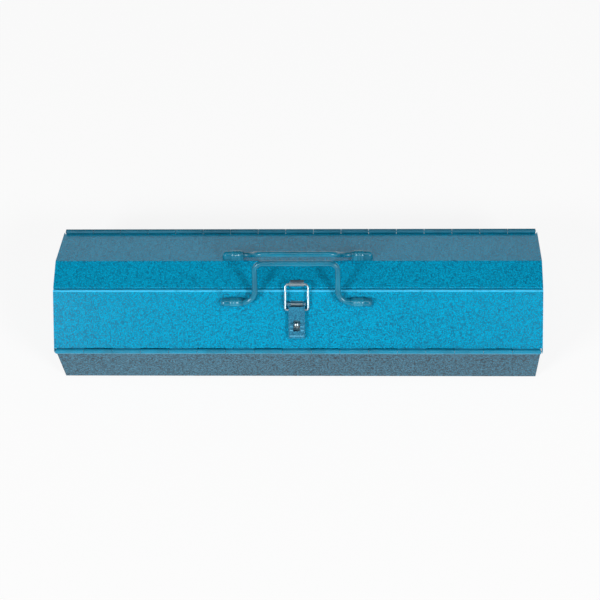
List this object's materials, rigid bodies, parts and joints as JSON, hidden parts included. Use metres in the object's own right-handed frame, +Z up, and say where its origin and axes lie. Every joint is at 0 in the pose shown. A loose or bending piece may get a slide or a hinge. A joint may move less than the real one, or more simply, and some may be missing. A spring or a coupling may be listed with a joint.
{
  "type": "sewing box with trays",
  "caption": "Long hexagonal sheet-steel box whose split lid folds open on two piano hinges, lifting level trays on links; paired bail handles and a draw latch.",
  "frame": {"origin": "centre of the box's foot, on the surface it stands on", "axes": "+X along the box, +Z up, -Y towards the side with the latch"},
  "size_m": [0.53, 0.1538, 0.1552],
  "materials": {
    "box_paint": "hammertone enamel",
    "lid_paint": "hammertone enamel",
    "handle_paint": "enamel",
    "tray_paint": "hammertone enamel",
    "bright_zinc": "bright plated",
    "link_steel": "plated",
    "plain_steel": "satin"
  },
  "bodies": {
    "body": {"body_shell": "box_paint", "body_arm_rivets": "plain_steel", "front_hinge_body_leaf": "box_paint", "front_hinge_pin": "plain_steel", "back_hinge_body_leaf": "box_paint", "back_hinge_pin": "plain_steel"},
    "front_lid": {"front_lid_shell": "lid_paint", "front_hinge_lid_leaf": "lid_paint", "front_bracket_left": "link_steel", "front_bracket_right": "link_steel", "front_handle_clip_left": "handle_paint", "front_handle_clip_right": "handle_paint", "latch_base": "bright_zinc", "latch_rivets": "plain_steel", "latch_staple": "bright_zinc", "latch_pin": "plain_steel"},
    "front_arms": {"front_arm_left": "link_steel", "front_arm_right": "link_steel"},
    "front_tray": {"front_tray": "tray_paint", "front_tray_rivets": "plain_steel", "front_tray_divider_1": "tray_paint", "front_tray_divider_2": "tray_paint", "front_tray_divider_3": "tray_paint"},
    "front_handle": {"front_handle_rod": "handle_paint"},
    "back_lid": {"back_lid_shell": "lid_paint", "back_hinge_lid_leaf": "lid_paint", "back_bracket_left": "link_steel", "back_bracket_right": "link_steel", "back_handle_clip_left": "handle_paint", "back_handle_clip_right": "handle_paint", "latch_catch": "bright_zinc"},
    "back_arms": {"back_arm_left": "link_steel", "back_arm_right": "link_steel"},
    "back_tray": {"back_tray": "tray_paint", "back_tray_rivets": "plain_steel", "back_tray_divider_1": "tray_paint", "back_tray_divider_2": "tray_paint", "back_tray_long_divider": "tray_paint"},
    "back_handle": {"back_handle_rod": "handle_paint"},
    "latch_lever": {"latch_lever": "bright_zinc"},
    "latch_loop": {"latch_loop": "bright_zinc", "latch_loop_roller": "bright_zinc"}
  },
  "joints": [
    {"name": "front_lid_hinge", "type": "hinge", "parent": "body", "child": "front_lid", "pos_m": [0, -0.0742, 0.075], "axis": [1, 0, 0], "range_deg": [0, 120]},
    {"name": "front_arms_swing", "type": "hinge", "parent": "body", "child": "front_arms", "pos_m": [0, -0.0622, 0.063], "axis": [1, 0, 0], "range_deg": [0, 120]},
    {"name": "front_tray_level", "type": "hinge", "parent": "front_arms", "child": "front_tray", "pos_m": [0, -0.0262, 0.053], "axis": [1, 0, 0], "range_deg": [-120, 0]},
    {"name": "front_handle_swing", "type": "hinge", "parent": "front_lid", "child": "front_handle", "pos_m": [0, -0.03094, 0.10739], "axis": [1, 0, 0], "range_deg": [0, 155]},
    {"name": "back_lid_hinge", "type": "hinge", "parent": "body", "child": "back_lid", "pos_m": [0, 0.0742, 0.075], "axis": [-1, 0, 0], "range_deg": [0, 120]},
    {"name": "back_arms_swing", "type": "hinge", "parent": "body", "child": "back_arms", "pos_m": [0, 0.0622, 0.063], "axis": [-1, 0, 0], "range_deg": [0, 120]},
    {"name": "back_tray_level", "type": "hinge", "parent": "back_arms", "child": "back_tray", "pos_m": [0, 0.0192, 0.051], "axis": [-1, 0, 0], "range_deg": [-120, 0]},
    {"name": "back_handle_swing", "type": "hinge", "parent": "back_lid", "child": "back_handle", "pos_m": [0, 0.02532, 0.11104], "axis": [-1, 0, 0], "range_deg": [0, 146]},
    {"name": "latch_lever_swing", "type": "hinge", "parent": "front_lid", "child": "latch_lever", "pos_m": [0, -0.03239, 0.10615], "axis": [-1, 0, 0], "range_deg": [0, 110]},
    {"name": "latch_loop_swing", "type": "hinge", "parent": "latch_lever", "child": "latch_loop", "pos_m": [0, -0.03732, 0.10235], "axis": [1, 0, 0], "range_deg": [0, 145]}
  ],
  "couplings": [
    {"joint": "front_arms_swing", "follows": "front_lid_hinge", "ratio": 1},
    {"joint": "front_tray_level", "follows": "front_lid_hinge", "ratio": -1},
    {"joint": "back_arms_swing", "follows": "back_lid_hinge", "ratio": 1},
    {"joint": "back_tray_level", "follows": "back_lid_hinge", "ratio": -1},
    {"joint": "latch_loop_swing", "follows": "latch_lever_swing", "ratio": 1.318}
  ]
}
